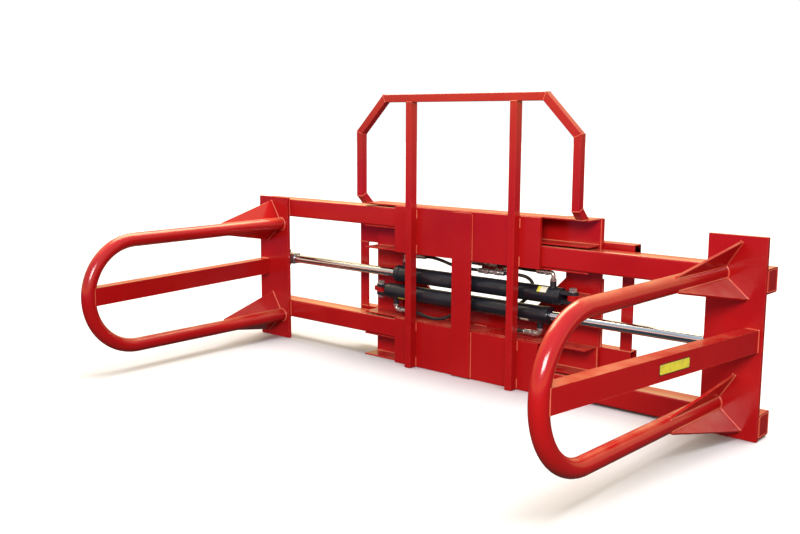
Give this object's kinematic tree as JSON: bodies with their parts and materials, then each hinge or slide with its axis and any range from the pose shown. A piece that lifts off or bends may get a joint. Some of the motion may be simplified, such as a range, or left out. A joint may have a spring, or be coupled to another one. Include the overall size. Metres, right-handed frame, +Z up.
{
  "type": "hydraulic bale clamp",
  "caption": "Loader bale clamp: hooped arms on slide tubes run in a double-row beam frame with a guard, each moved by its own hydraulic cylinder.",
  "frame": {"origin": "middle of the lower beam's underside, where the clamp stands", "axes": "+Z up, +X across the clamp towards the arm of the lower cylinder, arms reach out along -Y, loader side is +Y"},
  "size_m": [2.367, 1.1963, 1.1],
  "materials": {
    "red_paint": "gloss",
    "black_paint": "satin",
    "chrome_rod": "polished",
    "zinc": "satin",
    "steel": "satin",
    "hose_rubber": "matte"
  },
  "bodies": {
    "frame": {"lower_beam_web": "red_paint", "lower_beam_flanges": "red_paint", "upper_beam_web": "red_paint", "upper_beam_flanges": "red_paint", "front_shims": "red_paint", "lower_front_plate": "red_paint", "upper_front_plate": "red_paint", "centre_strap": "red_paint", "left_upright": "red_paint", "right_upright": "red_paint", "guard": "red_paint", "left_stile": "red_paint", "right_stile": "red_paint", "rear_top_bar": "red_paint", "rear_bottom_bar": "red_paint", "left_rear_post": "red_paint", "right_rear_post": "red_paint", "hitch_plate": "red_paint", "upper_base_lug": "red_paint", "lower_base_lug": "red_paint", "base_pins": "zinc", "upper_base_fork": "black_paint", "lower_base_fork": "black_paint", "upper_barrel": "black_paint", "lower_barrel": "black_paint", "upper_gland": "black_paint", "lower_gland": "black_paint", "port_bosses": "black_paint", "port_elbows": "zinc", "hose_ferrules": "zinc", "hose_tees": "zinc", "tee_bracket": "red_paint", "quick_couplers": "zinc", "upper_rod_hose": "hose_rubber", "lower_rod_hose": "hose_rubber", "upper_base_hose": "hose_rubber", "lower_base_hose": "hose_rubber"},
    "left_arm": {"left_plate": "red_paint", "left_slide_tubes": "red_paint", "left_tube_caps": "red_paint", "left_hoop": "red_paint", "left_bar": "red_paint", "left_fins": "red_paint", "left_rod_lug": "red_paint", "left_rod_fork": "steel", "left_rod_pin": "zinc", "left_rod": "chrome_rod", "left_piston": "steel"},
    "right_arm": {"right_plate": "red_paint", "right_slide_tubes": "red_paint", "right_tube_caps": "red_paint", "right_hoop": "red_paint", "right_bar": "red_paint", "right_fins": "red_paint", "right_rod_lug": "red_paint", "right_rod_fork": "steel", "right_rod_pin": "zinc", "right_rod": "chrome_rod", "right_piston": "steel"}
  },
  "joints": [
    {"name": "left_arm_slide", "type": "slide", "parent": "frame", "child": "left_arm", "axis": [1, 0, 0], "range_m": [0, 0.54]},
    {"name": "right_arm_slide", "type": "slide", "parent": "frame", "child": "right_arm", "axis": [-1, 0, 0], "range_m": [-0.025, 0.515]}
  ]
}
